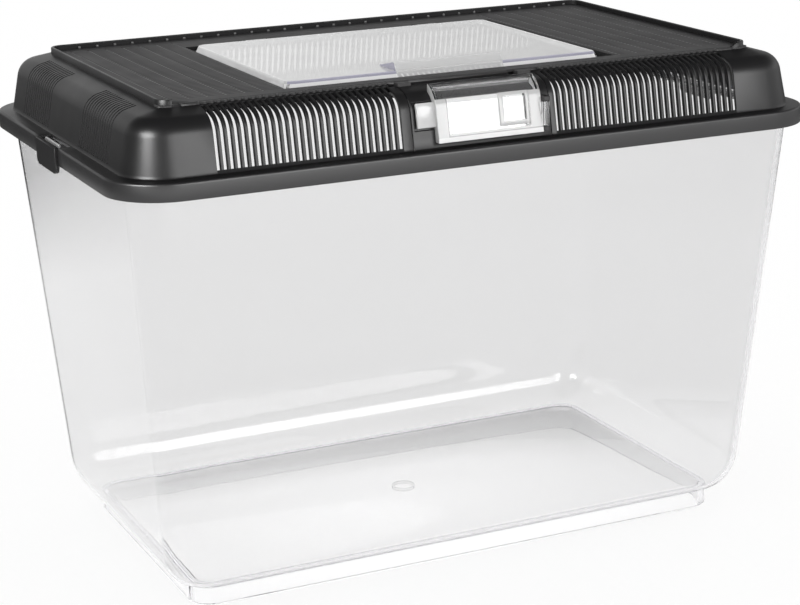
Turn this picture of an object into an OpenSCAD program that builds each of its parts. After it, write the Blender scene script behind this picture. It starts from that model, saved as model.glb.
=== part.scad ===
// Pet keeper: clear tapered tank, black domed lid with slotted vents, a clear
// lift-up window in the deck, a clear feeding door at the front and a snap
// latch at each end.
// Origin: centre of the foot, on the surface it stands on. +X along the long
// side, +Y to the back, +Z up. Millimetres.

/* [Lid] */
// Length of the lid over its skirt
lid_l = 460; // [440:5:500]
// Width of the lid over its skirt
lid_w = 290; // [280:5:310]
// Corner radius of the skirt
lid_r = 36; // [34:1:44]
// Wall of the lid moulding
lid_t = 2.2; // [1.8:0.1:2.6]
// Drop of the skirt below the tank rim
skirt_drop = 8.4; // [6:0.2:10]
// Width of the flat ledge round the dome
ledge_w = 9; // [8:0.5:10]
// Rise of the deck above the ledge
dome_h = 36.7; // [35:0.1:40]
// Radius of the dome's upper edge
dome_r = 13; // [11:0.5:15]

/* [Deck] */
// How far the deck's raised lip is set in from the skirt
deck_inset = 34.5; // [34:0.5:35.5]
// Height of the raised lip above the deck
lip_h = 3.1; // [2.5:0.1:4]
// Corner radius of the lip
lip_r = 8; // [6:1:10]
// Rows of perforations on each side of the window
dot_rows = 7; // [5:1:7]
// Pitch of the perforations along a row
dot_pitch = 4.16; // [4:0.04:8]
// Side of one square perforation
dot_w = 1.3; // [1:0.1:1.6]

/* [Vents] */
// Pitch of the vent slots
slot_pitch = 4.16; // [3.9:0.01:4.2]
// Width of one vent slot
slot_w = 2.4; // [2:0.1:2.6]
// Plain wall between a vent's first slot and the start of the round corner
vent_margin = 23.8; // [20:0.2:30]
// Grooves in each group on the ends of the dome
end_grooves = 14; // [8:1:14]

/* [Window] */
// Offset of the window and the front panel from the middle
offset_x = -5; // [-6:0.5:-4]
// Length of the window along the deck
window_l = 215; // [200:1:216]
// Depth of the window from front to back
window_w = 160; // [150:1:161]
// Height of the window tray
window_h = 5.4; // [5:0.1:6]
// Wall of the clear mouldings
clear_t = 2; // [1.8:0.1:2.2]
// Length of the finger grip
grip_l = 71; // [60:1:90]
// Rise of the grip above the window
grip_h = 4.6; // [4:0.1:6]

/* [Front panel and feeding door] */
// Length of the front panel
panel_l = 90.5; // [88:0.5:91]
// Length of the feeding door
door_l = 69; // [64:1:69]
// Bottom edge of the door above the ledge
door_sill = 3.6; // [3.4:0.1:5]
// How far the door stands out from the dome
door_rise = 4.4; // [4:0.1:5]

/* [Tank] */
// Height of the tank
tank_h = 272.6; // [250:1:300]
// Wall of the tank
tank_t = 2.4; // [2:0.1:3]
// Draft of the tank walls in degrees
draft = 4.5; // [4:0.1:5]
// Corner radius of the tank
tank_r = 23; // [20:1:26]
// How far the foot is set in from the walls above it
foot_inset = 15.6; // [15:0.2:20]
// Height of the foot
foot_h = 12.4; // [10:0.2:14]
// Height of the tank's rounded lower edge, above the foot
round_h = 25.6; // [20:0.2:30]

/* [Latches] */
// Width of a snap latch
latch_w = 40; // [36:1:42]
// Reach of a snap latch below the skirt
latch_drop = 5.6; // [5:0.2:8]

/* [Hidden] */
$fn = 48;
eps = 0.01;
// Fits between moving pieces
pin_gap = 0.1;
side_gap = 0.4;
rest_gap = 0.3;

ledge_z = tank_h + lid_t;
deck_z = ledge_z + dome_h;
lip_z = deck_z + lip_h;
skirt_z = tank_h - skirt_drop;
ledge_round = 1.6;
deck_l = lid_l - 2 * deck_inset;
deck_w = lid_w - 2 * deck_inset;
lip_t = 2;
lip_left = 8;
lip_right = 12.5;
// Studs along the foot of the back lip, and a dimple with a bead beside the
// lip's left end
stud_pitch = 12;
stud_l = 2;
stud_t = 0.9;
stud_h = 1.6;
stud_start = 20.5;
stud_end = 10.5;
dimple_l = 5.5;
dimple_w = 4.4;
dimple_depth = 1.6;
bead_l = 9.5;
bead_t = 0.9;
bead_h = 0.5;

// Dome profile: a leaning side, a round of dome_r and a shallow shoulder.
// "Inset" is measured inward from the skirt's outer face.
lean = 11;
shoulder = 14;
deck_over = 16.7;
round_inset = ledge_w + dome_r / cos(lean) + (dome_h - deck_over) * tan(lean) + 0.3;
round_z = ledge_z + dome_h - deck_over;
deck_foot = 20;
deck_foot_z = ledge_z + deck_foot;

// Vents: slots with a shallow groove above each, up to the edge of the deck
vent_end = lid_l / 2 - lid_r - vent_margin;
vent_clear = 4.4;
slot_sill = 2.2;
slot_top = deck_inset - 5.5;
groove_t = 1;
// The front grooves notch the deck's edge; the back ones stop at the lip
notch_in = 0.9;
lip_room = 0.5;
end_groove_w = 1.8;
end_groove_t = 0.7;
group_margin = 21.9;
end_groups_y = lid_w / 2 - lid_r - group_margin;

// Window pocket in the deck
pocket_l = window_l + 5;
hinge_strip = 12;
pocket_w = window_w + hinge_strip;
pocket_x = offset_x + 0.5;
pocket_front = 13.5;
pocket_y = -deck_w / 2 + pocket_front + pocket_w / 2;
pocket_depth = 2.5;
pocket_z = deck_z - pocket_depth;
seat_w = 8;
window_gap = 1.8;
window_x = offset_x - 0.75;
window_y = pocket_y - pocket_w / 2 + window_gap + window_w / 2;
window_r = 6;
window_bevel = 2.4;
top_edge = 0.6;
web_t = 1.6;
grip_run = 20;
grip_front = 6.5;
grip_crest = 2;

// Perforations: rows between the pocket and the lip
row_shift = -1.15;
row_edge = 12.35;
row_left = 1.5;
row_right = 4.5;
dot_run = 2 * floor((deck_w / 2 - 14) / dot_pitch) * dot_pitch;

// Window hinge: two barrels with pins that turn in four deck lugs
barrel_r = 2.1;
barrel_l = 14;
barrel_x = 62;
barrel_back = 3.5;
hinge_pin_r = 1.2;
pin_out = 3;
lug_t = 3.4;
lug_r = barrel_r + 0.3;
hinge_y = window_y + window_w / 2 + barrel_back;
hinge_z = pocket_z + barrel_r + rest_gap;

// Front panel: an insert with two tabs that hook under the deck
panel_seam = 0.6;
panel_depth = deck_inset - 3;
panel_x0 = offset_x - panel_l / 2;
panel_x1 = offset_x + panel_l / 2;
tab_l = 8.5;
tab_x = 11.3;
tab_hole = 5;
tab_t = 3.3;
tab_y = -deck_w / 2 + 2;

// Feeding door, with its hinge on the right and a finger catch on the left
hinge_room = 7.25;
door_x1 = panel_x1 - hinge_room;
door_x0 = door_x1 - door_l;
door_z0 = ledge_z + door_sill;
door_run_in = 12;
door_inset_top = ledge_w + door_run_in;
door_axis_x = door_x1 + 2.4;
door_axis_y = -lid_w / 2 + ledge_w - 2.1;
door_barrel_r = 1.9;
door_pin_r = 1.1;
door_pin_out = 2.4;
door_barrel_z0 = door_z0 + 3.8;
door_barrel_down = 15.1;
door_barrel_z1 = deck_z - door_barrel_down;
ear_h = 2.6;
ear_r = door_barrel_r + 0.2;
ear_depth = ledge_w - 1;
catch_x0 = panel_x0 + 2.75;
catch_z0 = door_z0 + 9.3;
catch_z1 = deck_z - 11.5;
recess_x0 = catch_x0 - 1.5;
recess_margin = 2;
recess_t = 1.2;

// Opening behind the door, and the ring moulded on the door's face
door_open_x0 = door_x0 + 8;
door_open_x1 = door_x1 - 9;
door_open_z0 = door_z0 + 3.1;
door_open_z1 = deck_z - 8.3;
ring_l = 19;
ring_x1 = door_x1 - 9;
ring_x0 = ring_x1 - ring_l;
ring_w = 1.4;
ring_h = 1;
ring_inset = ledge_w + 5;

// Tank
rim_gap = 10;
tank_top_l = lid_l - 2 * rim_gap;
tank_top_w = lid_w - 2 * rim_gap;
foot_taper = 2 * ((tank_h - foot_h) * tan(draft) + foot_inset);
foot_l = tank_top_l - foot_taper;
foot_w = tank_top_w - foot_taper;
foot_r = tank_r - 8.5;
foot_wall = 1.5;
foot_lap = 1;
belly_z = foot_h + round_h;
round_in = foot_inset + 1.4;
round_step = 15;
gate_r = 7.7;
gate_w = 0.8;
gate_h = 2;
flange_gap = 4;
flange_t = 3.2;

// Snap latch
latch_proud = 1.8;
latch_t = 2.8;
latch_axis_x = lid_l / 2 - 1.8;
latch_axis_z = tank_h - 1.4;
latch_pin_r = 1.1;
latch_pin_l = 2.6;
latch_r = 4;
latch_wall = 3.4;
slot_reach = 8.2;
post_w = 5;
catch_t = 1.6;
catch_margin = 8;

// ---- Shared shapes ----

// A rounded rectangle centred on the origin
module rounded_rect(l, w, r) {
    union() {
        square([l - 2 * r, w], center = true);
        square([l, w - 2 * r], center = true);
        for (sx = [-1, 1], sy = [-1, 1])
            translate([sx * (l / 2 - r), sy * (w / 2 - r)]) circle(r = r);
    }
}

// Region under the dome profile in (inset, height), offset inward by t,
// from z0 up. It ends at the inset lid_r, where the corners' centres are.
module dome_region(t, z0) {
    r = dome_r - t;
    side = [round_inset - r * cos(lean), round_z + r * sin(lean)];
    top = [round_inset - r * sin(shoulder), round_z + r * cos(shoulder)];
    foot = [side[0] - (side[1] - z0) * tan(lean), z0];
    end = [lid_r, top[1] + (lid_r - top[0]) * tan(shoulder)];
    union() {
        polygon([foot, side, top, end, [lid_r, z0]]);
        intersection() {
            translate([round_inset, round_z]) circle(r = r, $fn = 96);
            translate([0, z0]) square([lid_r, lip_z]);
        }
    }
}

// Height of the dome surface, offset inward by t, where the shoulder ends
function shoulder_z(t) =
    let (r = dome_r - t)
    round_z + r * cos(shoulder)
    + (lid_r - round_inset + r * sin(shoulder)) * tan(shoulder);

// Full cross-section of the dome for an overall width w
module dome_section(w, t, z0) {
    for (s = [0, 1])
        mirror([s, 0])
            translate([-w / 2, 0]) dome_region(t, z0);
    translate([-w / 2 + lid_r - eps, z0])
        square([w - 2 * lid_r + 2 * eps, shoulder_z(t) - z0]);
}

// Solid bounded by the dome surface offset inward by t, from z0 up
module dome_solid(t, z0) {
    run_x = lid_l - 2 * lid_r;
    run_y = lid_w - 2 * lid_r;
    rotate([90, 0, 90])
        translate([0, 0, -run_x / 2])
            linear_extrude(run_x) dome_section(lid_w, t, z0);
    rotate([90, 0, 0])
        translate([0, 0, -run_y / 2])
            linear_extrude(run_y) dome_section(lid_l, t, z0);
    for (sx = [-1, 1], sy = [-1, 1])
        translate([sx * run_x / 2, sy * run_y / 2, 0])
            rotate_extrude($fn = 96)
                intersection() {
                    mirror([1, 0]) translate([-lid_r, 0]) dome_region(t, z0);
                    translate([0, z0]) square([lid_r, lip_z]);
                }
}

// A band of the dome profile along the front, between x0 and x1. It runs from
// offset t0 in to offset t1, and from height z0 up to the inset "depth".
module front_band(x0, x1, t0, t1, z0, depth) {
    translate([x0, 0, 0])
        rotate([90, 0, 90])
            linear_extrude(x1 - x0)
                translate([-lid_w / 2, 0])
                    difference() {
                        intersection() {
                            dome_region(t0, z0);
                            translate([0, z0]) square([depth, lip_z]);
                        }
                        dome_region(t1, z0 - 1);
                    }
}

// A plain box between two corners
module span(a, b) {
    translate(a) cube(b - a);
}

// ---- Tank ----

// Outline of the tank at height z, shrunk by t on each side
module tank_slice(z, t) {
    shrink = (tank_h - z) * tan(draft);
    translate([0, 0, z])
        linear_extrude(eps)
            rounded_rect(tank_top_l - 2 * shrink - 2 * t,
                         tank_top_w - 2 * shrink - 2 * t, tank_r - t / 2);
}

module tank() {
    color([0.86, 0.88, 0.92, 0.35])
    difference() {
        union() {
            // Tapered body with its rounded lower edge
            hull($fn = 32) {
                tank_slice(tank_h - eps, 0);
                for (a = [0 : round_step : 90])
                    tank_slice(belly_z - (round_h - eps) * sin(a),
                               round_in * (1 - cos(a)));
            }
            // Foot, carried up into the body
            linear_extrude(foot_h + foot_lap) rounded_rect(foot_l, foot_w, foot_r);
            // Rim flange
            translate([0, 0, tank_h - flange_t])
                linear_extrude(flange_t)
                    rounded_rect(lid_l - 2 * flange_gap, lid_w - 2 * flange_gap,
                                 lid_r - flange_gap);
        }
        // Inside, one wall thickness in from the body
        hull($fn = 32) {
            translate([0, 0, 1]) tank_slice(tank_h, tank_t);
            for (a = [0 : round_step : 90])
                tank_slice(belly_z - (round_h - tank_t) * sin(a),
                           tank_t + (round_in - tank_t) * (1 - cos(a)));
        }
        // Hollow under the floor, inside the foot ring
        difference() {
            translate([0, 0, -1])
                linear_extrude(foot_h + 1)
                    rounded_rect(foot_l - 2 * (tank_t + foot_wall),
                                 foot_w - 2 * (tank_t + foot_wall), foot_r - 3);
            gate_ring();
        }
    }
}

// The ring that the mould's gate leaves under the middle of the floor
module gate_ring() {
    translate([0, 0, foot_h - gate_h])
        difference() {
            cylinder(h = gate_h + foot_lap, r = gate_r);
            translate([0, 0, -1]) cylinder(h = gate_h + 3, r = gate_r - gate_w);
        }
}

// ---- Lid ----

// One slot through the front wall of the dome, and the shallow groove that
// carries it up to the edge of the deck, to the inset "reach"
module vent_slot(x, reach) {
    span([x - slot_w / 2, -lid_w / 2 - 1, ledge_z + slot_sill],
         [x + slot_w / 2, -lid_w / 2 + slot_top, deck_z]);
    front_band(x - slot_w / 2, x + slot_w / 2, -2, groove_t, deck_foot_z, reach);
}

// A groove on the end of the dome, at depth position y on the left side
module end_groove(y) {
    rotate([0, 0, -90])
        translate([0, lid_w / 2 - lid_l / 2, 0])
            front_band(-y - end_groove_w / 2, -y + end_groove_w / 2, -1,
                       end_groove_t, ledge_z + slot_sill, slot_top);
}

module front_vents() {
    // Slots fill each side up to the plain wall beside the panel
    left = floor((vent_end + panel_x0 - vent_clear - panel_seam) / slot_pitch);
    right = floor((vent_end - panel_x1 - vent_clear - panel_seam) / slot_pitch);
    reach = deck_inset + notch_in;
    for (i = [0 : left]) vent_slot(-vent_end + i * slot_pitch, reach);
    for (i = [0 : right]) vent_slot(vent_end - i * slot_pitch, reach);
}

module back_vents() {
    gaps = floor(2 * vent_end / slot_pitch);
    for (i = [0 : gaps])
        rotate([0, 0, 180])
            vent_slot((i - gaps / 2) * slot_pitch, deck_inset - lip_room);
}

module end_groups() {
    for (s = [0, 1], m = [0, 1], i = [0 : end_grooves - 1])
        mirror([s, 0, 0])
            mirror([0, m, 0])
                end_groove(end_groups_y - i * slot_pitch);
}

module lid_shell() {
    difference() {
        union() {
            // Skirt and ledge
            translate([0, 0, skirt_z])
                linear_extrude(ledge_z - skirt_z - ledge_round)
                    rounded_rect(lid_l, lid_w, lid_r);
            translate([0, 0, ledge_z - ledge_round - eps])
                linear_extrude(ledge_round + eps)
                    rounded_rect(lid_l - 2, lid_w - 2, lid_r - 1);
            dome_solid(0, ledge_z - eps);
            // Deck and its raised lip
            translate([0, 0, deck_foot_z])
                linear_extrude(lip_z - deck_foot_z)
                    rounded_rect(deck_l, deck_w, lip_r);
        }
        // Space inside the skirt, down over the tank rim
        translate([0, 0, skirt_z - 1])
            linear_extrude(tank_h - skirt_z + 1)
                rounded_rect(lid_l - 2 * lid_t, lid_w - 2 * lid_t, lid_r - lid_t);
        // Space inside the dome
        dome_solid(lid_t, tank_h - 1);
        // Well of the deck, open at the front between the corners
        translate([0, 0, deck_z])
            linear_extrude(lip_h + 1)
                rounded_rect(deck_l - 2 * lip_t, deck_w - 2 * lip_t, lip_r - lip_t);
        span([-deck_l / 2 + lip_left, -lid_w / 2, deck_z],
             [deck_l / 2 - lip_right, -deck_w / 2 + lip_t + 1, lip_z + 1]);
    }
}

// Small studs at the foot of the back lip's inner face
module lip_studs() {
    y = deck_w / 2 - lip_t;
    gaps = floor((deck_l - stud_start - stud_end) / stud_pitch);
    for (i = [0 : gaps])
        translate([-deck_l / 2 + stud_start + i * stud_pitch, 0, 0])
            span([-stud_l / 2, y - stud_t, deck_z - eps],
                 [stud_l / 2, y + eps, deck_z + stud_h]);
}

// A dimple in the deck's front edge beside the lip's left end
module corner_dimple() {
    x = -deck_l / 2 + lip_left + eps;
    span([x, -deck_w / 2 - 1, deck_z - dimple_depth],
         [x + dimple_l, -deck_w / 2 + dimple_w, deck_z + 1]);
}

// A low bead along the deck's edge, from the dimple to the first notch
module corner_bead() {
    x = -deck_l / 2 + lip_left + dimple_l;
    span([x, -deck_w / 2, deck_z - eps],
         [x + bead_l, -deck_w / 2 + bead_t, deck_z + bead_h]);
}

module window_pocket() {
    translate([pocket_x, pocket_y, pocket_z])
        linear_extrude(pocket_depth + 1) square([pocket_l, pocket_w], center = true);
    translate([pocket_x, pocket_y, pocket_z - 2 * lid_t])
        linear_extrude(2 * lid_t + 1)
            square([pocket_l - 2 * seat_w, pocket_w - 2 * seat_w], center = true);
}

module pocket_frame() {
    translate([pocket_x, pocket_y, pocket_z - lid_t])
        linear_extrude(lid_t + 1)
            square([pocket_l + 2 * lid_t, pocket_w + 2 * lid_t], center = true);
}

// One row of perforations at x
module dot_row(x) {
    for (y = [-dot_run / 2 : dot_pitch : dot_run / 2])
        translate([x, y, deck_z])
            cube([dot_w, dot_w, 6 * lid_t], center = true);
}

// Rows spaced evenly from the lip to the pocket, on both sides
module perforations() {
    outer = [row_shift - deck_l / 2 + row_edge, row_shift + deck_l / 2 - row_edge];
    inner = [pocket_x - pocket_l / 2 - row_left, pocket_x + pocket_l / 2 + row_right];
    for (s = [0, 1], i = [0 : dot_rows - 1])
        dot_row(outer[s] + i * (inner[s] - outer[s]) / (dot_rows - 1));
}

// Four lugs that hold the window's hinge pins
module window_lugs() {
    reach = barrel_l / 2 + side_gap;
    for (s = [-1, 1], e = [-1, 1])
        translate([window_x + s * barrel_x + e * (reach + lug_t / 2), hinge_y, 0]) {
            translate([-lug_t / 2, 0, hinge_z])
                rotate([0, 90, 0]) cylinder(h = lug_t, r = lug_r);
            span([-lug_t / 2, -lug_r, pocket_z - eps], [lug_t / 2, lug_r, hinge_z]);
        }
}

module lid() {
    color([0.13, 0.13, 0.14])
    difference() {
        union() {
            difference() {
                lid_shell();
                front_vents();
                back_vents();
                end_groups();
                // Opening for the front panel
                front_band(panel_x0 - panel_seam, panel_x1 + panel_seam, -1,
                           lid_t + 1, ledge_z, panel_depth);
                perforations();
                corner_dimple();
            }
            lip_studs();
            corner_bead();
            pocket_frame();
            latch_posts();
        }
        window_pocket_cut();
        panel_tab_slots();
        latch_openings();
    }
}

// The pocket is cut first and the lugs stand in it
module window_pocket_cut() {
    difference() {
        window_pocket();
        window_lugs();
    }
    for (s = [-1, 1])
        translate([window_x + s * barrel_x - barrel_l, hinge_y, hinge_z])
            rotate([0, 90, 0])
                cylinder(h = 2 * barrel_l, r = hinge_pin_r + pin_gap);
}

// Slots in the deck's front edge that take the panel's two tabs
module panel_tab_slots() {
    for (x = [panel_x0, panel_x1 - tab_x])
        span([x - tab_hole, -lid_w / 2 + panel_depth - 1, deck_z - tab_t - 0.7],
             [x + tab_l, tab_y + 0.2, deck_z + 1]);
}

// Openings in skirt and ledge for the latches
module latch_openings() {
    half = latch_w / 2 + side_gap;
    for (s = [0, 1])
        mirror([s, 0, 0]) {
            span([-lid_l / 2 - 1, -half, skirt_z - 1],
                 [-lid_l / 2 + latch_wall, half, ledge_z + 1]);
            span([-lid_l / 2 + latch_wall - 0.1, -half + 3, tank_h - 1],
                 [-lid_l / 2 + slot_reach, half - 3, ledge_z + 1]);
            translate([-latch_axis_x, 0, latch_axis_z])
                rotate([90, 0, 0])
                    cylinder(h = latch_w + 2 * latch_pin_l + 2, r = latch_pin_r + pin_gap,
                             center = true);
        }
}

// Thickened skirt on both sides of each latch, bored for its pins
module latch_posts() {
    half = latch_w / 2;
    for (s = [0, 1], e = [-1, 1])
        mirror([s, 0, 0])
            span([-lid_l / 2, min(e * half, e * (half + post_w)), skirt_z],
                 [-lid_l / 2 + latch_wall + 0.2,
                  max(e * half, e * (half + post_w)), tank_h + eps]);
}

// ---- Front panel ----

module front_panel() {
    color([0.15, 0.15, 0.16])
    difference() {
        union() {
            front_band(panel_x0, panel_x1, 0, lid_t, ledge_z, panel_depth);
            // Two tabs that hook into the deck
            for (x = [panel_x0, panel_x1 - tab_x])
                span([x, -lid_w / 2 + panel_depth - 1, deck_z - tab_t - rest_gap],
                     [x + tab_l, tab_y, deck_z - rest_gap]);
            door_ears();
        }
        // Opening behind the feeding door
        span([door_open_x0, -lid_w / 2, door_open_z0],
             [door_open_x1, -lid_w / 2 + panel_depth, door_open_z1]);
        // Finger recess beside the door
        intersection() {
            front_band(recess_x0, door_x0 - 0.5, -1, recess_t,
                       catch_z0 - recess_margin, panel_depth);
            span([recess_x0 - 1, -lid_w, ledge_z],
                 [door_x0, 0, catch_z1 + recess_margin]);
        }
        // Bores for the door's pins
        translate([door_axis_x, door_axis_y, door_barrel_z0 - 2 * ear_h])
            cylinder(h = door_barrel_z1 - door_barrel_z0 + 4 * ear_h,
                     r = door_pin_r + pin_gap);
    }
}

// Ears above and below the door's barrel
module door_ears() {
    for (z = [door_barrel_z0 - side_gap - ear_h, door_barrel_z1 + side_gap])
        translate([door_axis_x, door_axis_y, z]) {
            cylinder(h = ear_h, r = ear_r);
            translate([-ear_r, 0, 0]) cube([2 * ear_r, ear_depth, ear_h]);
        }
}

// ---- Feeding door ----

module feeding_door() {
    color([0.9, 0.92, 0.95, 0.35])
    union() {
        // Curved tray that follows the dome
        difference() {
            front_band(door_x0, door_x1, -door_rise, -rest_gap, door_z0,
                       door_inset_top);
            front_band(door_x0 + clear_t, door_x1 - clear_t, clear_t - door_rise, 3,
                       door_z0 + clear_t, door_inset_top - clear_t);
        }
        // Raised square ring
        difference() {
            front_band(ring_x0, ring_x1, -door_rise - ring_h, 0.5 - door_rise,
                       door_z0 + 7, ring_inset);
            front_band(ring_x0 + ring_w, ring_x1 - ring_w, -door_rise - 2 * ring_h,
                       2 - door_rise, door_z0 + 7 + ring_w, ring_inset - ring_w);
        }
        // Finger tab
        intersection() {
            front_band(catch_x0, door_x0 + 1, -2, -rest_gap, catch_z0, panel_depth);
            span([catch_x0 - 1, -lid_w, ledge_z], [door_x0 + 2, 0, catch_z1]);
        }
        // Hinge barrel, its web and its pins
        translate([door_axis_x, door_axis_y, door_barrel_z0])
            cylinder(h = door_barrel_z1 - door_barrel_z0, r = door_barrel_r);
        translate([door_axis_x, door_axis_y, door_barrel_z0 - door_pin_out])
            cylinder(h = door_barrel_z1 - door_barrel_z0 + 2 * door_pin_out,
                     r = door_pin_r);
        span([door_x1 - 1, door_axis_y - 1, door_barrel_z0],
             [door_axis_x, door_axis_y + 0.6, door_barrel_z1]);
    }
}

// ---- Top window ----

module tray_slice(z, inset, r) {
    translate([0, 0, z])
        linear_extrude(eps)
            rounded_rect(window_l - 2 * inset, window_w - 2 * inset, r);
}

module top_window() {
    color([0.93, 0.93, 0.94, 0.6]) {
        translate([window_x, window_y, pocket_z])
            difference() {
                union() {
                    hull($fn = 32) {
                        tray_slice(0, 0, window_r);
                        tray_slice(window_h - top_edge, window_bevel - top_edge,
                                   window_r);
                        tray_slice(window_h - eps, window_bevel, window_r - 1);
                    }
                    grip();
                }
                hull($fn = 32) {
                    tray_slice(-1, clear_t, window_r - 2);
                    tray_slice(window_h - clear_t, clear_t + window_bevel, window_r - 2);
                }
                // Finger hollow under the grip
                translate([0, -window_w / 2 + 1, 0])
                    rotate([0, 90, 0])
                        linear_extrude(grip_l - 4 * clear_t, center = true)
                            polygon([[1, 2], [1, 10],
                                     [clear_t - window_h - grip_h + 0.4, 8.4],
                                     [clear_t - window_h - grip_h + 0.4, 6.6]]);
            }
        for (s = [-1, 1])
            translate([window_x + s * barrel_x, hinge_y, hinge_z]) {
                rotate([0, 90, 0]) cylinder(h = barrel_l, r = barrel_r, center = true);
                rotate([0, 90, 0])
                    cylinder(h = barrel_l + 2 * pin_out, r = hinge_pin_r, center = true);
                span([-barrel_l / 2, -barrel_back - 1.7, -web_t / 2],
                     [barrel_l / 2, 0, web_t / 2]);
            }
    }
}

// Wedge grip at the front of the window
module grip() {
    rotate([90, 0, 90])
        linear_extrude(grip_l, center = true)
            translate([-window_w / 2, 0])
                polygon([[1, 0], [3, window_h], [grip_front, window_h + grip_h],
                         [grip_front + grip_crest, window_h + grip_h],
                         [grip_front + grip_run, window_h - 0.1],
                         [grip_front + grip_run, window_h - 1],
                         [8, window_h - 1.6], [8, 0]]);
}

// ---- Snap latches ----

// Left latch; the right one is its mirror image
module latch() {
    out = -lid_l / 2 - latch_proud;
    half = latch_w / 2;
    bottom = skirt_z - latch_drop;
    tip = flange_gap - lid_l / 2 - rest_gap;
    // Face plate with rounded lower corners
    translate([out, 0, 0])
        rotate([90, 0, 90])
            linear_extrude(latch_t)
                union() {
                    translate([-half, bottom + latch_r])
                        square([latch_w, ledge_z - bottom - latch_r]);
                    translate([-half + latch_r, bottom])
                        square([latch_w - 2 * latch_r, latch_r + 1]);
                    for (s = [-1, 1])
                        translate([s * (half - latch_r), bottom + latch_r])
                            circle(r = latch_r);
                }
    // Hinge bead and its end pins
    translate([-latch_axis_x, 0, latch_axis_z])
        rotate([90, 0, 0]) {
            cylinder(h = latch_w, r = latch_t / 2, center = true);
            cylinder(h = latch_w + 2 * latch_pin_l, r = latch_pin_r, center = true);
        }
    // Catch under the rim
    translate([0, half - catch_margin, 0])
        rotate([90, 0, 0])
            linear_extrude(latch_w - 2 * catch_margin)
                polygon([[out + 1, bottom + 3], [tip, skirt_z + 3],
                         [tip, skirt_z + 3 + catch_t], [out + 1, skirt_z + 5]]);
}

module snap_latch_left() {
    color([0.14, 0.14, 0.15]) latch();
}

module snap_latch_right() {
    color([0.14, 0.14, 0.15]) mirror([1, 0, 0]) latch();
}

tank();
lid();
front_panel();
feeding_door();
top_window();
snap_latch_left();
snap_latch_right();
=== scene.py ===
# %% [markdown]
# # A plastic pet keeper, dressed in Blender
# The keeper is a clear moulded tank under a black domed lid, with slotted vents, a milky window
# in the deck, a clear feeding door at the front and a snap latch at each end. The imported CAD
# model gives the moving bodies. This script makes the pieces that are seen, down to the bars
# between the slots and the fine perforations.

# %% Load the frame
import math

import bmesh
import bpy
from bmesh import ops
from mathutils import Matrix, Vector


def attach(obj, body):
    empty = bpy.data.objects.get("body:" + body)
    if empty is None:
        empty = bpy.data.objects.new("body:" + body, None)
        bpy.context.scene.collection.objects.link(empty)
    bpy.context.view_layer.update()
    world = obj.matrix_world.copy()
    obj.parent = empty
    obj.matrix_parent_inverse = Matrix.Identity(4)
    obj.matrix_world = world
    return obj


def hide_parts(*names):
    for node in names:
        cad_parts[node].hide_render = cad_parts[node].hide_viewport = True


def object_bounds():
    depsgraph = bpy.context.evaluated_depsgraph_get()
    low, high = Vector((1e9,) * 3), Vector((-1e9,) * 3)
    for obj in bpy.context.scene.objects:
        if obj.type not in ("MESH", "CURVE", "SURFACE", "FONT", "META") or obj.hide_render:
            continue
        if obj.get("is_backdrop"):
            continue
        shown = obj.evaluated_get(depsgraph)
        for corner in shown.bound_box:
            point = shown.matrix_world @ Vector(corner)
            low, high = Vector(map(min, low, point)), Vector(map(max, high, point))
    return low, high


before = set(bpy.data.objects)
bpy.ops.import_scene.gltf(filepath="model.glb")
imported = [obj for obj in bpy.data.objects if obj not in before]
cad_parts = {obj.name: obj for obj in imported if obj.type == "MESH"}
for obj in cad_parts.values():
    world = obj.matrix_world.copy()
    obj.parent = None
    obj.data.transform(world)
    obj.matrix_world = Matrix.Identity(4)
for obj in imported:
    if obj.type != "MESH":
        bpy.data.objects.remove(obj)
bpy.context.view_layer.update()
MM = 0.001

# %% [markdown]
# ## The camera
# It looks down on the front left corner with a long lens, so parallel edges stay nearly parallel.
# Its axes are worked out from two angles and a slight roll.

# %% Camera
scene = bpy.context.scene


def add_object(name, data):
    """A new object, put in the scene."""
    made = bpy.data.objects.new(name, data)
    scene.collection.objects.link(made)
    return made


AZIMUTH, ELEVATION, ROLL = (math.radians(a) for a in (-24.652, 15.853, -1.191))
TARGET, DISTANCE = Vector((0, 0, 0.150)), 1.4043
SENSOR, LENS = 36, 95.72
SHIFT_X, SHIFT_Y = 0.0018, -0.0143
away = Vector((math.sin(AZIMUTH) * math.cos(ELEVATION),
               -math.cos(AZIMUTH) * math.cos(ELEVATION),
               math.sin(ELEVATION)))
level = away.cross(Vector((0, 0, -1))).normalized()
upright = level.cross(-away)
side_axis = level * math.cos(ROLL) + upright * math.sin(ROLL)
top_axis = upright * math.cos(ROLL) - level * math.sin(ROLL)
camera_data = bpy.data.cameras.new("camera")
camera_data.sensor_fit = "HORIZONTAL"
camera_data.sensor_width = SENSOR
camera_data.lens = LENS
camera_data.shift_x = SHIFT_X
camera_data.shift_y = SHIFT_Y
camera = add_object("camera", camera_data)
turn = Matrix((side_axis, top_axis, away)).transposed().to_4x4()
camera.matrix_world = Matrix.Translation(TARGET + away * DISTANCE) @ turn
scene.camera = camera
print("camera at", [round(v, 3) for v in camera.location])

# %% [markdown]
# ## Plastics
# The black mouldings have a fine satin grain, so their material has clouds of roughness and a
# shallow bump. They are near black on the lid. Copies of that black carry painted light and
# shade: a darker, duller painted shade in the slots, grooves and recesses, a lighter colour for
# the light on the skirt and the deck, whose rougher grain is real, and painted light on the
# studs and on the walls of the deck's fine holes. The tank and the door are clear polystyrene:
# almost no colour through a thin wall, and a violet-grey tint where light runs a long way
# inside. Milky plastic lets a share of the light through and scatters the rest. It makes the
# window, the door's tab and the window's grip. Copies of it carry painted light and shade: grey
# with a dark line for the shade in the door's clear border and ring, milky for the light along
# the border's foot, and white and violet for the painted highlights on edges.

# %% Helpers for materials
IOR = 1.5


def grey(value):
    """An opaque grey as a colour."""
    return (value, value, value, 1)


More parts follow.
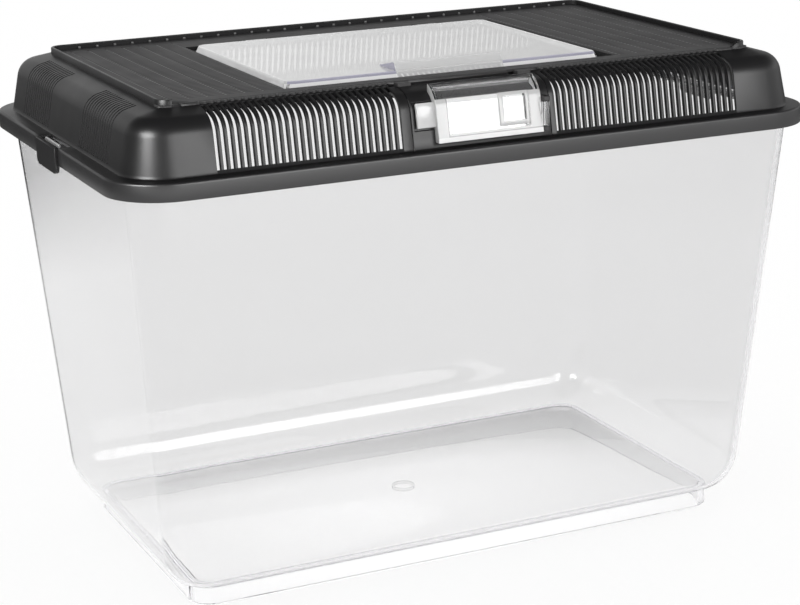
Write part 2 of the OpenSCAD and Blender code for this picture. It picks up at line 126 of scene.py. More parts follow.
def material(name):
    """A new node material; returns it with its nodes, its links and its Principled shader."""
    made = bpy.data.materials.new(name)
    made.use_nodes = True
    nodes = made.node_tree.nodes
    return made, nodes, made.node_tree.links, nodes["Principled BSDF"]


def fill(node, **values):
    """Sets a node's inputs. An underscore stands for a space in an input's name."""
    for name, value in values.items():
        node.inputs[name.replace("_", " ")].default_value = value


def ramp(nodes, links, source, low, high):
    """Greys from low to high over the middle part of a noise."""
    made = nodes.new("ShaderNodeValToRGB")
    for element, position, value in zip(made.color_ramp.elements, (0.3, 0.7), (low, high)):
        element.position = position
        element.color = grey(value)
    links.new(source, made.inputs["Fac"])
    return made.outputs["Color"]


def noise(nodes, links, scale, detail):
    """A noise pattern that is fixed to the piece."""
    place = nodes.new("ShaderNodeTexCoord")
    made = nodes.new("ShaderNodeTexNoise")
    fill(made, Scale=scale, Detail=detail)
    links.new(place.outputs["Object"], made.inputs["Vector"])
    return made.outputs["Fac"]


# %% Satin black
GRAIN_SCALE, CLOUD_SCALE, GRAIN_DEPTH = 1400, 26, 0.0002


def satin_black(name, colour, rough_low, rough_high, level, grain=0.08):
    """Black moulded plastic: fine grain for bump, larger clouds for roughness."""
    made, nodes, links, shader = material(name)
    clouds = noise(nodes, links, CLOUD_SCALE, 5)
    links.new(ramp(nodes, links, clouds, rough_low, rough_high), shader.inputs["Roughness"])
    bump = nodes.new("ShaderNodeBump")
    fill(bump, Strength=grain, Distance=GRAIN_DEPTH)
    links.new(noise(nodes, links, GRAIN_SCALE, 3), bump.inputs["Height"])
    links.new(bump.outputs["Normal"], shader.inputs["Normal"])
    fill(shader, Base_Color=(*colour, 1), Specular_IOR_Level=level)
    return made


# Painted shade: a darker, duller copy of the black for slots, grooves, webs, the lip's inner side
# and the strip below the vents.
shade_black = satin_black("shade_black", (0.009, 0.0085, 0.0095), 0.55, 0.65, 0.15)
lid_black = satin_black("lid_black", (0.011, 0.0107, 0.0113), 0.33, 0.41, 0.40)
# Painted light: the skirt is a lighter copy of the lid's black, for the light it catches.
skirt_lit_black = satin_black("skirt_lit_black", (0.02, 0.0196, 0.0204), 0.33, 0.41, 0.6)
# Painted light: the deck is a lighter copy of the black, for the light on its top; its rougher,
# deeper grain is real.
deck_lit_black = satin_black("deck_lit_black", (0.045, 0.044, 0.045), 0.5, 0.6, 0.35, 0.12)
# Painted highlight: the studs are grey so that they show as light dots.
stud_highlight = satin_black("stud_highlight", (0.15, 0.15, 0.15), 0.4, 0.5, 0.5)
# Painted light: the walls of the deck's fine holes are pale, for the light that comes up through
# them from the clear tank.
lit_hole_wall = satin_black("lit_hole_wall", (0.30, 0.30, 0.30), 0.5, 0.6, 0.3)
print("satin blacks:", shade_black.name, "to", lit_hole_wall.name)


# %% Clear polystyrene
def clear_plastic(name, tint, absorb, density, haze=0.0):
    """Glass-like plastic with a tint that deepens where light travels far inside it."""
    made, nodes, links, shader = material(name)
    fill(shader, Base_Color=(*tint, 1), Roughness=0, IOR=IOR, Transmission_Weight=1 - haze)
    inside = nodes.new("ShaderNodeVolumeAbsorption")
    fill(inside, Color=(*absorb, 1), Density=density)
    links.new(inside.outputs["Volume"], nodes["Material Output"].inputs["Volume"])
    return made


tank_clear = clear_plastic("tank_clear", (0.89, 0.89, 0.888), (0.62, 0.60, 0.72), 14, 0.03)
door_clear = clear_plastic("door_clear", (0.985, 0.985, 0.987), (0.7, 0.7, 0.76), 8)
print("clear plastics:", tank_clear.name, door_clear.name)

# %% Hazed plastic
HAZE_SCALE, HAZE_SPREAD = 40, 0.03


def hazed_plastic(name, colour, through, rough):
    """Milky plastic: a share of the light comes through, and the rest takes the colour."""
    made, nodes, links, shader = material(name)
    share = ramp(nodes, links, noise(nodes, links, HAZE_SCALE, 3), through - HAZE_SPREAD,
                 through + HAZE_SPREAD)
    links.new(share, shader.inputs["Transmission Weight"])
    fill(shader, Base_Color=colour, Roughness=rough, IOR=IOR)
    return made


window_milky = hazed_plastic("window_milky", grey(0.92), 0.40, 0.0)
# Painted highlight: a whiter copy of the window's plastic for its bevelled edges.
window_edge_highlight = hazed_plastic("window_edge_highlight", grey(0.97), 0.10, 0.15)
# Milky plastic for the door's tab, the window's grip and the rim strips, and painted light along
# the foot of the door's clear border.
door_milky_and_lit = hazed_plastic("door_milky_and_lit", grey(0.80), 0.20, 0.15)
# Painted shade: grey for the door's clear border and ring.
door_grey_shade = hazed_plastic("door_grey_shade", grey(0.64), 0.16, 0.12)
# Painted shade: the thin dark line where the door's border meets its clear face.
door_dark_shade = hazed_plastic("door_dark_shade", grey(0.40), 0.20, 0.12)
# Painted light: violet for the light that runs inside clear plastic and leaves at its edges, put on
# the tank's foot bevel, the window's front edge and the grip's ends.
violet_edge_light = hazed_plastic("violet_edge_light", (0.50, 0.49, 0.60, 1), 0.25, 0.1)
print("hazed plastics:", window_milky.name, "to", violet_edge_light.name)

# %% [markdown]
# ## Tools for making pieces
# Every piece is drawn in millimetres as a bmesh, then scaled to metres and given its body. An
# outline is carried along a path by extruding for straight stretches and spinning for corners.


def piece(name, bm, body, *finishes, smooth=35, wall=0, soften=0, replaces=(), slot=None):
    """A bmesh in millimetres becomes a named piece. Its faces count the finishes from 0. wall
    adds thickness inward, soften rounds the sharp edges, and replaces names the CAD nodes that
    the piece stands for. slot is not used."""
    ops.scale(bm, vec=(MM, MM, MM), verts=bm.verts)
    mesh = bpy.data.meshes.new(name)
    bm.to_mesh(mesh)
    bm.free()
    mesh.shade_smooth()
    mesh.set_sharp_from_angle(angle=math.radians(smooth))
    made = add_object(name, mesh)
    for finish in finishes:
        mesh.materials.append(finish)
    if wall:
        shell = made.modifiers.new("wall", "SOLIDIFY")
        shell.thickness = wall * MM
        shell.offset = -1
        shell.use_even_offset = True
    if soften:
        edge = made.modifiers.new("soften", "BEVEL")
        edge.width = soften * MM
        edge.segments = 2
        edge.limit_method = "ANGLE"
        edge.angle_limit = math.radians(smooth)
        edge.harden_normals = False
    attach(made, body)
    if replaces:
        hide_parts(*replaces)
    print(name, "rides on", body, "with", len(mesh.polygons), "faces")
    return made


# %% Helper: carry an outline along a path
def chain(bm, points, closed=False):
    """Edges joining points in order."""
    verts = [bm.verts.new(p) for p in points]
    pairs = list(zip(verts, verts[1:])) + ([(verts[-1], verts[0])] if closed else [])
    return [bm.edges.new(p) for p in pairs]


def carry(bm, edges, moves):
    """Carries edges along a path. A move is ("go", (dx, dy, dz)), or
    ("turn", centre, axis, degrees, steps) for a bend."""
    for kind, *move in moves:
        if kind == "go":
            made = ops.extrude_edge_only(bm, edges=edges)["geom"]
            verts = [g for g in made if isinstance(g, bmesh.types.BMVert)]
            ops.translate(bm, verts=verts, vec=move[0])
        else:
            centre, axis, degrees, steps = move
            made = ops.spin(
                bm, geom=edges + list({v for e in edges for v in e.verts}), cent=centre,
                axis=axis, angle=math.radians(degrees), steps=steps)["geom_last"]
        edges = [g for g in made if isinstance(g, bmesh.types.BMEdge)]
    return edges


def along(direction, low, high, marks=()):
    """Moves in one direction from low to high, halting at every mark between them."""
    halts = sorted({low, high, *[m for m in marks if low < m < high]})
    return [("go", Vector(direction) * (b - a)) for a, b in zip(halts, halts[1:])]


def corner(x, y, way, steps):
    """A right-angled bend about an upright line at (x, y), to the left for way 1."""
    return ("turn", (x, y, 0), (0, 0, way), 90, steps)


def round_off(bm, geom, radius, steps, affect="VERTICES"):
    """Rounds corners or edges."""
    ops.bevel(bm, geom=geom, offset=radius, segments=steps, profile=0.5, affect=affect,
              material=-1)


def repeat(bm, step, times):
    """Copies all of a bmesh's faces again and again, each a step further on."""
    ops.spin(bm, geom=bm.verts[:] + bm.edges[:] + bm.faces[:], cent=(0, 0, 0),
             axis=(0, 0, 1), angle=0, dvec=step, steps=times, use_duplicate=True)


def level_loop(bm, length, width, radius, z, middle=(0, 0), steps=6):
    """The edges of a rounded rectangle lying level at z."""
    older = set(bm.faces)
    verts = ops.create_grid(bm, x_segments=1, y_segments=1, size=0.5)["verts"]
    ops.scale(bm, vec=(length, width, 1), verts=verts)
    ops.translate(bm, vec=(*middle, z), verts=verts)
    round_off(bm, verts, radius, steps)
    face = next(f for f in bm.faces if f not in older)
    edges = list(face.edges)
    ops.delete(bm, geom=[face], context="FACES_ONLY")
    return edges


def bridge(bm, loops, closed=False):
    """Skins the spaces between loops, one after another. A loop level with the one before it
    is lifted while the two are joined, because a flat pair could be skinned crosswise."""
    pairs = list(zip(loops, loops[1:])) + ([(loops[-1], loops[0])] if closed else [])
    for first, second in pairs:
        verts = list({v for e in second for v in e.verts})
        lift = float(abs(first[0].verts[0].co.z - verts[0].co.z) < 0.01)
        ops.translate(bm, verts=verts, vec=(0, 0, lift))
        ops.bridge_loops(bm, edges=first + second)
        ops.translate(bm, verts=verts, vec=(0, 0, -lift))


def face_out(bm):
    """Turns every face of a closed shape outward."""
    ops.recalc_face_normals(bm, faces=bm.faces)


def close_up(bm, outward=None):
    """Merges doubled points and turns the faces one way. For an open sheet, outward is a point
    on it and the direction in which the face nearest to that point has to look."""
    ops.remove_doubles(bm, verts=bm.verts, dist=0.001)
    ops.dissolve_degenerate(bm, dist=0.0005, edges=bm.edges)
    face_out(bm)
    if outward is not None:
        bm.faces.ensure_lookup_table()
        probe, direction = outward
        near = min(bm.faces, key=lambda f: (f.calc_center_median() - Vector(probe)).length)
        near.normal_update()
        if near.normal.dot(Vector(direction)) < 0:
            ops.reverse_faces(bm, faces=bm.faces)


def drop_faces(bm, test):
    """Deletes the faces whose centre passes the test."""
    gone = [f for f in bm.faces if test(f.calc_center_median())]
    ops.delete(bm, geom=gone, context="FACES")
    return len(gone)


def cap(bm, *loops):
    """Closes each loop of edges with one face."""
    for edges in loops:
        ops.contextual_create(bm, geom=edges)


def paint(bm, rule):
    """Gives every face the number of a finish, found by a rule from the face and its centre."""
    for face in bm.faces:
        face.material_index = int(rule(face, face.calc_center_median()))


def block(bm, low, high):
    """A plain block between two corners, to be softened or joined to others."""
    verts = ops.create_cube(bm, size=1)["verts"]
    size = Vector(high) - Vector(low)
    ops.scale(bm, vec=size, verts=verts)
    ops.translate(bm, vec=(Vector(high) + Vector(low)) / 2, verts=verts)


def rod(bm, start, end, radius, segments):
    """A round bar from start to end."""
    axis = Vector(end) - Vector(start)
    turn_to = axis.to_track_quat("Z", "Y").to_matrix().to_4x4()
    ops.create_cone(bm, cap_ends=True, segments=segments, radius1=radius, radius2=radius,
                    depth=axis.length,
                    matrix=Matrix.Translation((Vector(end) + Vector(start)) / 2) @ turn_to)


# %% [markdown]
# ## Sizes shared by the pieces
# These repeat the CAD part's own values, in millimetres. An inset is measured inward from the
# skirt's outer face, so one profile serves all four sides of the dome.

# %% Sizes
LENGTH, WIDTH, CORNER = 460, 290, 36
SKIRT_Z, LEDGE_Z, DECK_Z, LIP_Z = 264.2, 274.8, 311.5, 314.6
WALL = 2.2
DECK_INSET = 34.5
DECK_L, DECK_W = LENGTH - 2 * DECK_INSET, WIDTH - 2 * DECK_INSET
LEAN, SHOULDER, DOME_R = math.radians(11), math.radians(14), 13
ROUND_INSET, ROUND_Z = 26.43, 294.8
PITCH = 4.16
PANEL = (-50.25, 40.25)
SEAM = 0.6
half_l, half_w = LENGTH / 2, WIDTH / 2
half_deck_l, half_deck_w = DECK_L / 2, DECK_W / 2


# %% The dome's profile
def side_line(offset, start, last, arc):
    """Points (inset, z) up the dome's leaning side from the height start, and over its round to
    the angle last. offset moves the line inward."""
    r = DOME_R - offset
    top = ROUND_Z + r * math.sin(LEAN)
    foot = ROUND_INSET - r * math.cos(LEAN) - (top - start) * math.tan(LEAN)
    turns = [LEAN + (last - LEAN) * i / arc for i in range(arc + 1)]
    return [(foot, start),
            *[(ROUND_INSET - r * math.cos(a), ROUND_Z + r * math.sin(a)) for a in turns]]


def dome_profile(offset=0.0, stop=CORNER, arc=10, marks=()):
    """The side line from the ledge, and on along the shoulder with a point at every mark."""
    points = side_line(offset, LEDGE_Z, math.pi / 2 - SHOULDER, arc)
    top = points[-1]
    return points + [(inset, top[1] + (inset - top[0]) * math.tan(SHOULDER))
                     for inset in sorted([*marks, stop])]


print("dome profile:", [(round(a, 1), round(b, 1)) for a, b in dome_profile()][:4], "...")

# %% [markdown]
# ## The lid's shell
# Skirt, ledge and dome are one moulding. The outer profile is carried once round the rim. The
# path halts on both sides of the vents, the front panel, the tabs and the latches, so that those
# faces can be taken out cleanly, and at the fine grooves in both ends, whose faces are sunk. The
# wall is given its thickness last.

# %% Lid shell
VENT_SILL = LEDGE_Z + 2.2
VENT_TOP, PANEL_TOP = 33.0, 31.5
GROOVE_TOP, GROOVE_W, GROOVE_IN = 29.0, 1.8, 0.45
GROOVES = [s * (87.1 - i * PITCH) for s in (-1, 1) for i in range(14)]
VENTS_FRONT = ((-171.4, -56.68), (44.2, 171.4))
VENT_BACK = (-169.68, 169.68)
TAB_HOLES = ((-55.25, -41.75), (23.95, 37.45))
LATCH_GAP = 20.4
SHADED, SKIRT = 1, 2


def lid_profile():
    """Points (inset, z) up the skirt, round its edge, over the ledge and up the dome."""
    side = dome_profile(marks=(GROOVE_TOP, PANEL_TOP, VENT_TOP, DECK_INSET))
    foot = side[0][0]
    sill = foot + (VENT_SILL - LEDGE_Z) * math.tan(LEAN)
    skirt = [(0, SKIRT_Z), (0, LEDGE_Z - 1.5), (0.12, LEDGE_Z - 0.9), (0.45, LEDGE_Z - 0.4),
             (0.95, LEDGE_Z - 0.1), (1.6, LEDGE_Z), (foot - 0.9, LEDGE_Z),
             (foot - 0.25, LEDGE_Z + 0.2), (foot + 0.15, LEDGE_Z + 0.75), (sill, VENT_SILL)]
    return skirt + side[1:]


run_x, run_y = half_l - CORNER, half_w - CORNER
front_marks = [m for v in VENTS_FRONT for m in v] + [PANEL[0] - SEAM, PANEL[1] + SEAM]
front_marks += [m for h in TAB_HOLES for m in h]
end_marks = [-LATCH_GAP, LATCH_GAP] + [m + s * GROOVE_W / 2 for m in GROOVES for s in (-1, 1)]
bm = bmesh.new()
edges = chain(bm, [(-run_x, -half_w + inset, z) for inset, z in lid_profile()])
carry(bm, edges, [
    *along((1, 0, 0), -run_x, run_x, front_marks), corner(run_x, -run_y, 1, 12),
    *along((0, 1, 0), -run_y, run_y, end_marks), corner(run_x, run_y, 1, 12),
    *along((-1, 0, 0), -run_x, run_x, VENT_BACK), corner(-run_x, run_y, 1, 12),
    *along((0, -1, 0), -run_y, run_y, end_marks), corner(-run_x, -run_y, 1, 12)])
close_up(bm, ((0, -half_w, SKIRT_Z + 4), (0, -1, 0)))


def beside_vents(c):
    """True where the front or the back wall has slots."""
    front = c.y < 0 and any(a < c.x < b for a, b in VENTS_FRONT)
    return front or c.y > 0 and VENT_BACK[0] < c.x < VENT_BACK[1]


def in_vent(c):
    """True for the part of the dome that the vents' bars take over."""
    return c.z > VENT_SILL and abs(c.y) > half_w - VENT_TOP and beside_vents(c)


def in_panel(c):
    return (PANEL[0] - SEAM < c.x < PANEL[1] + SEAM and c.y < -half_w + PANEL_TOP
            and c.z > LEDGE_Z + 0.02)


def in_tab_hole(c):
    return (any(a < c.x < b for a, b in TAB_HOLES) and c.z > 300
            and -half_w + PANEL_TOP - 0.1 < c.y < -half_w + DECK_INSET + 2.2)


def in_latch(c):
    return abs(c.y) < LATCH_GAP and abs(c.x) > half_l - 5 and c.z < LEDGE_Z + 0.02


def in_vent_foot(c):
    """True for the strip of wall between the ledge and the slots."""
    return LEDGE_Z + 0.3 < c.z < VENT_SILL and abs(c.y) > half_w - 20 and beside_vents(c)


grooved = [f for f in bm.faces
           if (c := f.calc_center_median()).z > VENT_SILL and abs(c.x) < half_l
           and abs(c.x) > half_l - GROOVE_TOP
           and any(abs(c.y - g) < GROOVE_W / 2 for g in GROOVES)]
walls = ops.inset_region(bm, faces=grooved, thickness=0.35, depth=-GROOVE_IN,
                         use_even_offset=True, use_boundary=True)["faces"]
sunk = {*grooved, *walls}
# The grooves and the strip of wall below the slots take the painted shade; the skirt takes its
# lighter copy of the black, painted light.
paint(bm, lambda f, c: SKIRT if c.z < LEDGE_Z - 0.2 else SHADED * (f in sunk or in_vent_foot(c)))
print("faces sunk for the grooves of both ends:", len(grooved))
print("faces opened for vents, panel, tabs, latches:", drop_faces(bm, in_vent),
      drop_faces(bm, in_panel), drop_faces(bm, in_tab_hole), drop_faces(bm, in_latch))
piece("lid_shell", bm, "lid", lid_black, shade_black, skirt_lit_black, smooth=32, wall=WALL,
      soften=0.15, replaces=("lid",))

# %% [markdown]
# ## Vent ribs
# What is left between two slots is a bent bar, whose softened edges catch a line of light. It is
# a rounded section carried up the dome's side, round its bend and along the shoulder. Its sides,
# which face the slots, have a painted shade, a duller black. One bar is made for each row and
# repeated.

# %% Vent ribs
RIB_W, RIB_T, RIB_ROUND = 1.76, 2.8, 0.22


def dome_path(front, top):
    """The path of a bar on the front (-1) or back (1) wall, up to the inset top."""
    rise = ROUND_Z + DOME_R * math.sin(LEAN) - VENT_SILL
    bend_top = ROUND_INSET - DOME_R * math.sin(SHOULDER)
    run = top - bend_top
    return [("go", (0, -front * rise * math.tan(LEAN), rise)),
            ("turn", (0, front * (half_w - ROUND_INSET), ROUND_Z), (front, 0, 0),
             90 - math.degrees(LEAN + SHOULDER), 7),
            ("go", (0, -front * run, run * math.tan(SHOULDER)))]


def bar_section(bm, x, front):
    """A rounded section for a bar, square to the dome's leaning side at the sill."""
    inset = dome_profile()[0][0] + (VENT_SILL - LEDGE_Z) * math.tan(LEAN)
    edges = level_loop(bm, RIB_W, RIB_T, RIB_ROUND, 0, steps=2)
    verts = list({v for e in edges for v in e.verts})
    ops.rotate(bm, verts=verts, cent=(0, 0, 0),
               matrix=Matrix.Rotation(front * LEAN, 3, "X"))
    middle = Vector((0, math.cos(LEAN), -math.sin(LEAN))) * RIB_T / 2
    ops.translate(bm, verts=verts, vec=(
        x, front * (half_w - inset - middle.y), VENT_SILL + middle.z))
    return edges


def row_of_bars(name, first, count, front):
    """Bars at the slots' pitch; first is the x of the leftmost one."""
    bm = bmesh.new()
    start = bar_section(bm, first, front)
    end = carry(bm, start, dome_path(front, DECK_INSET + 0.3))
    cap(bm, start, end)
    face_out(bm)
    # The sides that face the slots take the painted shade.
    paint(bm, lambda f, c: abs(f.normal.x) > 0.6)
    repeat(bm, (PITCH, 0, 0), count - 1)
    piece(name, bm, "lid", lid_black, shade_black, smooth=60)


OUTER_BAR = 168.12
row_of_bars("ribs_front_left", -OUTER_BAR, 27, -1)
row_of_bars("ribs_front_right", OUTER_BAR - 29 * PITCH, 30, -1)
row_of_bars("ribs_back", -80 / 2 * PITCH, 81, 1)

# %% [markdown]
# ## Webs and the notched edge of the deck
# Just below the deck the slots close into shallow grooves, whose floor is the web. They run on
# into the deck's edge, where each leaves a half-round notch. The notched edge is one tooth,
# repeated at the same pitch.

# %% Webs
WEB_LOW, WEB_HIGH, WEB_IN, WEB_T = 29.0, 35.2, 1.0, 1.2


def web(name, low, high, front):
    """A strip along the shoulder from low to high, sunk below the bars' tops."""
    line = dome_profile(offset=WEB_IN, stop=WEB_HIGH, marks=(WEB_LOW,))[-2:]
    bm = bmesh.new()
    edges = chain(bm, [(low, front * (half_w - i), z) for i, z in line])
    carry(bm, edges, along((1, 0, 0), low, high))
    close_up(bm, ((0, front * (half_w - 32), 309), (0, 0, 1)))
    # The web takes the slots' painted shade.
    piece(name, bm, "lid", shade_black, wall=WEB_T)


web("web_front_left", -171.9, -56.2, -1)
web("web_front_right", 43.7, 171.9, -1)
web("web_back", -170.2, 170.2, 1)

# %% Notched deck edge
EDGE_IN, NOTCH_R, DECK_T, OUTER_NOTCH = 37.0, 1.2, 2.6, 170.2


def thicken(bm, move):
    """Carries all the faces of a flat sheet by one move and closes the sides."""
    made = ops.extrude_face_region(bm, geom=bm.faces[:])["geom"]
    ops.translate(bm, vec=move,
                  verts=[g for g in made if isinstance(g, bmesh.types.BMVert)])
    face_out(bm)


def notched_edge(name, first, count):
    """Teeth of the deck's front edge; each has a half-round notch in its middle."""
    bm = bmesh.new()
    outer, inner = -half_w + DECK_INSET, -half_w + EDGE_IN
    low, high = first - PITCH / 2, first + PITCH / 2
    left = chain(bm, [(low, outer, DECK_Z), (first - NOTCH_R, outer, DECK_Z)])
    ops.spin(bm, geom=[left[-1].verts[1]], cent=(first, outer, DECK_Z),
             axis=(0, 0, -1), angle=math.pi, steps=6)
    chain(bm, [(first + NOTCH_R, outer, DECK_Z), (high, outer, DECK_Z), (high, inner, DECK_Z),
               (low, inner, DECK_Z), (low, outer, DECK_Z)])
    ops.remove_doubles(bm, verts=bm.verts, dist=0.01)
    cap(bm, bm.edges[:])
    thicken(bm, (0, 0, -DECK_T))
    repeat(bm, (PITCH, 0, 0), count - 1)
    # The teeth take the deck's lighter copy of the black, painted light.
    piece(name, bm, "lid", deck_lit_black)


notched_edge("deck_edge_left", -OUTER_NOTCH, 28)
notched_edge("deck_edge_right", OUTER_NOTCH - 30 * PITCH, 31)

# %% [markdown]
# ## The deck
# The deck is a flat plate with fourteen rows of fine square holes and a large opening for the
# window's pocket. A line of points, one at each side of each hole, is carried along its length
# and halts at each side of each row. In the grid that this gives, the holes are whole cells, so
# they can be taken out before the plate is given thickness.

# %% Deck plate
HOLE = 0.65
ROWS = [-184.3 + i * 11.383 for i in range(7)] + [110 + i * 12 for i in range(7)]
HOLES_Y = [(i - 23) * PITCH for i in range(47)]
POCKET_X, POCKET_Y = (-114.5, 105.5), (-97.0, 75.0)
TAB_Y, NOTCH_Y, DIMPLE_Y = (-half_deck_w + depth for depth in (2.2, 2.5, 4.4))
NOTCHED, NOTCH_REACH = ((-172.28, -57.0), (44.0, 172.28)), 0.9
DIMPLE_X = (-187.5, -182.0)

bm = bmesh.new()
row_sides = [h + s * HOLE for h in HOLES_Y for s in (-1, 1)]
ys = sorted([-half_deck_w, TAB_Y, NOTCH_Y, DIMPLE_Y, *row_sides, *POCKET_Y, half_deck_w])
edges = chain(bm, [(-half_deck_l, y, DECK_Z) for y in ys])
x_stops = [r + s * HOLE for r in ROWS for s in (-1, 1)]
x_stops += [*POCKET_X, *DIMPLE_X, *[m for gap in (*NOTCHED, *TAB_HOLES) for m in gap]]
carry(bm, edges, along((1, 0, 0), -half_deck_l, half_deck_l, x_stops))
close_up(bm)


def in_hole(c):
    return (any(abs(c.x - r) < HOLE for r in ROWS)
            and any(abs(c.y - h) < HOLE for h in HOLES_Y))


def in_pocket(c):
    return POCKET_X[0] < c.x < POCKET_X[1] and POCKET_Y[0] < c.y < POCKET_Y[1]


def in_notches(c):
    return c.y < NOTCH_Y and any(a < c.x < b + NOTCH_REACH for a, b in NOTCHED)


def in_front_cuts(c):
    """The dimple beside the lip's left end, and the slots for the panel's two tabs."""
    dimple = DIMPLE_X[0] < c.x < DIMPLE_X[1] and c.y < DIMPLE_Y
    return dimple or c.y < TAB_Y and any(a < c.x < b for a, b in TAB_HOLES)


print("perforations:", drop_faces(bm, in_hole), "front cuts:", drop_faces(bm, in_front_cuts))
drop_faces(bm, in_pocket)
drop_faces(bm, in_notches)
far = [v for v in bm.verts if abs(v.co.x) > half_deck_l - 0.1 and abs(v.co.y) > half_deck_w - 0.1]
round_off(bm, far, 7.5, 5)
close_up(bm, ((-190, 0, DECK_Z), (0, 0, 1)))
# The walls that the plate's thickness adds take the next finish after the face's own, so the fine
# holes' walls get painted light: a pale finish for the light that comes up from the tank below.
paint(bm, lambda f, c: 2 * (abs(c.y) > 98 or min(abs(c.x - r) for r in ROWS) > 12))
deck = piece("deck_plate", bm, "lid", deck_lit_black, lit_hole_wall, deck_lit_black, wall=DECK_T)
deck.modifiers["wall"].material_offset_rim = 1

# %% Bead on the deck's front edge
bm = bmesh.new()
block(bm, (-182, -half_deck_w, DECK_Z - 0.4), (-172.5, -half_deck_w + 0.9, DECK_Z + 0.5))
piece("deck_bead", bm, "lid", lid_black, soften=0.25)

# %% [markdown]
# ## The raised lip
# A thin lip stands round three sides of the deck and returns a little way along the front. Its
# top edge is rounded, which is why it shows as a thin bright line, and its inner side has a
# painted shade, a duller black. Small studs stand along the foot of its back run.

# %% Lip
LIP_T, LIP_R, LIP_FOOT = 2.0, 8, 308.6
LIP_LEFT, LIP_RIGHT = -187.5, 183.0
bm = bmesh.new()
rise = [(0, LIP_FOOT), (0, LIP_Z - 0.55), (0.25, LIP_Z - 0.15), (0.65, LIP_Z)]
section = rise + [(LIP_T - i, z) for i, z in reversed(rise)]
start = chain(bm, [(LIP_LEFT, -half_deck_w + i, z) for i, z in section], closed=True)
lip_x, lip_y = half_deck_l - LIP_R, half_deck_w - LIP_R
end = carry(bm, start, [
    ("go", (-lip_x - LIP_LEFT, 0, 0)), corner(-lip_x, -lip_y, -1, 8),
    ("go", (0, 2 * lip_y, 0)), corner(-lip_x, lip_y, -1, 8),
    ("go", (2 * lip_x, 0, 0)), corner(lip_x, lip_y, -1, 8),
    ("go", (0, -2 * lip_y, 0)), corner(lip_x, -lip_y, -1, 8),
    ("go", (LIP_RIGHT - lip_x, 0, 0))])
cap(bm, start, end)
for v in {v for e in end for v in e.verts}:
    v.co.z = min(v.co.z, DECK_Z + 0.3)
close_up(bm)


def looks_in(f, c):
    """True for a face that looks towards the middle of the deck."""
    return f.normal.x * c.x < -0.5 * abs(c.x) or f.normal.y * c.y < -0.5 * abs(c.y)


# The lip's inner side takes the painted shade.
paint(bm, lambda f, c: looks_in(f, c) and c.z < LIP_Z - 0.4)
piece("deck_lip", bm, "lid", lid_black, shade_black)

# %% Studs at the lip's foot
STUD_X, STUD_W, STUD_Z, STUD_PITCH, STUDS = -176, 1.6, 1.3, 12, 31
stud_y = half_deck_w - LIP_T
bm = bmesh.new()
block(bm, (STUD_X, stud_y - 0.9, DECK_Z - 0.3), (STUD_X + STUD_W, stud_y + 0.2, DECK_Z + STUD_Z))
round_off(bm, bm.edges[:], 0.3, 2, "EDGES")
repeat(bm, (STUD_PITCH, 0, 0), STUDS - 1)
# The studs take the painted highlight, a light grey.
piece("lip_studs", bm, "lid", stud_highlight)

# %% [markdown]
# ## The window's pocket
# The window lies in a shallow pocket: four walls and a ledge. Inside the ledge the deck is open,
# so a hand can reach into the tank.

# %% Pocket
SEAT_Z, SEAT_W, POCKET_R, LAP = 309.0, 8, 0.8, 0.06
bm = bmesh.new()
middle = sum(POCKET_X) / 2, sum(POCKET_Y) / 2
pocket_l, pocket_w = POCKET_X[1] - POCKET_X[0], POCKET_Y[1] - POCKET_Y[0]
pocket_top, pocket_foot = DECK_Z - 0.01, SEAT_Z - WALL
rings = [level_loop(bm, pocket_l + 2 * out, pocket_w + 2 * out, POCKET_R, z, middle, 2)
         for out, z in ((-LAP, pocket_top), (-LAP, SEAT_Z), (-SEAT_W, SEAT_Z),
                        (-SEAT_W, pocket_foot), (WALL, pocket_foot), (WALL, pocket_top))]
bridge(bm, rings, closed=True)
close_up(bm)
piece("window_pocket", bm, "lid", lid_black)

# %% [markdown]
# ## The tank
# The tank is made as one closed skin, so light passes through it without meeting a joint.
# Rounded rectangles are laid level from the underside of the floor, round the foot, up the
# outside, over the rim and down the inside, and the spaces between them are bridged. The narrow
# bevel at the top of the foot is painted violet, a painted light for the light that runs inside
# the wall and leaves there.

# %% Tank
TANK_L, TANK_W, TANK_H = 440, 270, 272.6
RIM_L, RIM_W, RIM_R, RIM_Z = 452, 282, 32, 269.8
TANK_R, TANK_T, FOOT_R = 23.0, 2.4, 14.5
DRAFT = math.radians(4.5)
FOOT_H, FOOT_IN, ROUND_H, ROUND_IN = 12.4, 15.6, 25.6, 17.0
BELLY_Z, MID_Z = FOOT_H + ROUND_H, 150


def tank_ring(bm, z, shrink, radius):
    """A level ring at height z, smaller than the tank's mouth by shrink on every side."""
    return level_loop(bm, TANK_L - 2 * shrink, TANK_W - 2 * shrink, radius, z, steps=8)


def wall_ring(bm, z, inset):
    """A level ring of the tapered wall at height z, set in by the given amount."""
    return tank_ring(bm, z, (TANK_H - z) * math.tan(DRAFT) + inset, TANK_R - inset / 2)


def foot_ring(bm, z, inset):
    """A level ring of the foot, which stands straight below the wall's inset foot line."""
    shrink = (TANK_H - FOOT_H) * math.tan(DRAFT) + FOOT_IN + inset
    return tank_ring(bm, z, shrink, FOOT_R - 0.8 * inset)


def round_ring(bm, degrees, t):
    """A ring of the rounded lower edge: 0 degrees is its top, 90 its meeting with the floor."""
    a = math.radians(degrees)
    return wall_ring(bm, BELLY_Z - (ROUND_H - t) * math.sin(a),
                     t + (ROUND_IN - t) * (1 - math.cos(a)))


def foot_bevel(f, c):
    return FOOT_H - 0.75 < c.z < FOOT_H - 0.1 and (abs(c.x) > 180 or abs(c.y) > 95)


